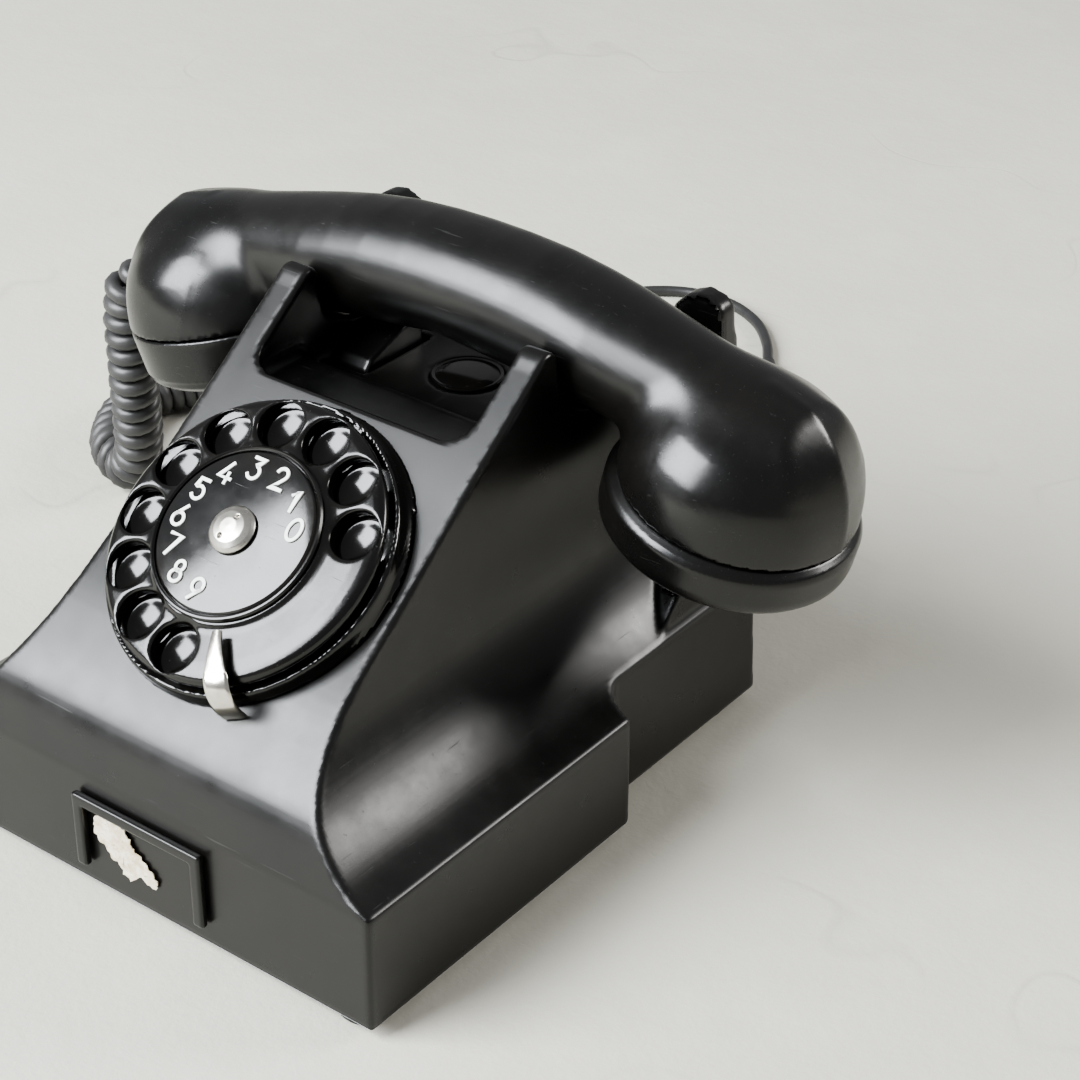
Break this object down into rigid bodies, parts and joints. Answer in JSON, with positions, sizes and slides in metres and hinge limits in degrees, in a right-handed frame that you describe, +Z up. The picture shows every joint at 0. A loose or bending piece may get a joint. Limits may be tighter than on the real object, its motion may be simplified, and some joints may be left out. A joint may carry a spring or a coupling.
{
  "type": "rotary desk telephone",
  "caption": "Desk telephone with a sloping housing, a rotary dial with finger holes and a stop, a handset resting in a sprung cradle, a coiled handset cord and a line cord with a wall plug.",
  "frame": {"origin": "middle of the body's bounding box at the underside of the feet, cords left out", "axes": "+Z up, the dial faces -Y, +X is to the right of someone dialling, the handset lies along X"},
  "size_m": [0.3093, 0.3801, 0.1432],
  "materials": {
    "bakelite": "moulded black phenolic, semi-gloss, lightly scratched and dusty",
    "rubber": "matt black rubber",
    "steel": "plain zinc-grey steel",
    "nickel": "worn nickel plate",
    "brass": "plain brass",
    "copper": "varnished copper winding",
    "paper": "torn cream card",
    "enamel": "gloss black enamel with white numerals",
    "cord": "dark grey-black smooth cord jacket"
  },
  "bodies": {
    "base": {"housing": "bakelite", "card_frame": "bakelite", "well_plug": "bakelite", "dial_case": "bakelite", "terminal_block": "bakelite", "wall_plug": "bakelite", "foot_front_left": "rubber", "foot_front_right": "rubber", "foot_rear_left": "rubber", "foot_rear_right": "rubber", "handset_cord_relief": "rubber", "line_cord_sleeve": "rubber", "line_cord_relief": "rubber", "base_plate": "steel", "foot_screw_front_left": "steel", "foot_screw_front_right": "steel", "foot_screw_rear_left": "steel", "foot_screw_rear_right": "steel", "dial_plate": "steel", "dial_bridge": "steel", "spring_barrel": "steel", "hook_bracket": "steel", "hook_spring": "steel", "ringer_frame": "steel", "gong_left": "steel", "gong_right": "steel", "capacitor": "steel", "finger_stop": "nickel", "pulse_contacts": "brass", "hook_contacts": "brass", "gong_post_left": "brass", "gong_post_right": "brass", "ringer_coil_left": "copper", "ringer_coil_right": "copper", "induction_coil": "copper", "name_card": "paper", "handset_cord": "cord", "handset_cord_tail": "cord", "line_cord": "cord", "line_cord_far": "cord", "line_cord_coil": "cord"},
    "dial": {"finger_wheel": "bakelite", "number_disc": "enamel", "number_disc_ring": "bakelite", "hub_cap": "nickel", "dial_shaft": "steel", "main_gear": "brass"},
    "governor": {"governor": "brass"},
    "hook": {"hook_lever": "bakelite"},
    "clapper": {"clapper": "steel"},
    "handset": {"handset_shell": "bakelite", "receiver_cap": "bakelite", "transmitter_cap": "bakelite", "receiver_capsule": "steel", "transmitter_capsule": "steel", "handset_cord_boot": "rubber"}
  },
  "joints": [
    {"name": "handset_lift", "type": "slide", "parent": "base", "child": "handset", "axis": [0, 0, 1], "range_m": [0, 0.08]},
    {"name": "hook_rise", "type": "hinge", "parent": "base", "child": "hook", "pos_m": [0, 0.02735, 0.0933], "axis": [1, 0, 0], "range_deg": [0, 7.2]},
    {"name": "dial_spin", "type": "hinge", "parent": "base", "child": "dial", "pos_m": [0, -0.04605, 0.0925], "axis": [0, 0.617, -0.7869], "range_deg": [0, 332], "stiffness_Nm_per_rad": 0.004, "springref_deg": -34.38},
    {"name": "governor_spin", "type": "hinge", "parent": "base", "child": "governor", "pos_m": [0, -0.02787, 0.10675], "axis": [0, 0.617, -0.7869], "range_deg": [-1992, 0]},
    {"name": "clapper_swing", "type": "hinge", "parent": "base", "child": "clapper", "pos_m": [0, 0.02335, 0.0354], "axis": [0, 1, 0], "range_deg": [-3, 3], "stiffness_Nm_per_rad": 0.02}
  ],
  "couplings": [
    {"joint": "hook_rise", "follows": "handset_lift", "rad_per_m": 1.527},
    {"joint": "governor_spin", "follows": "dial_spin", "ratio": -6}
  ]
}
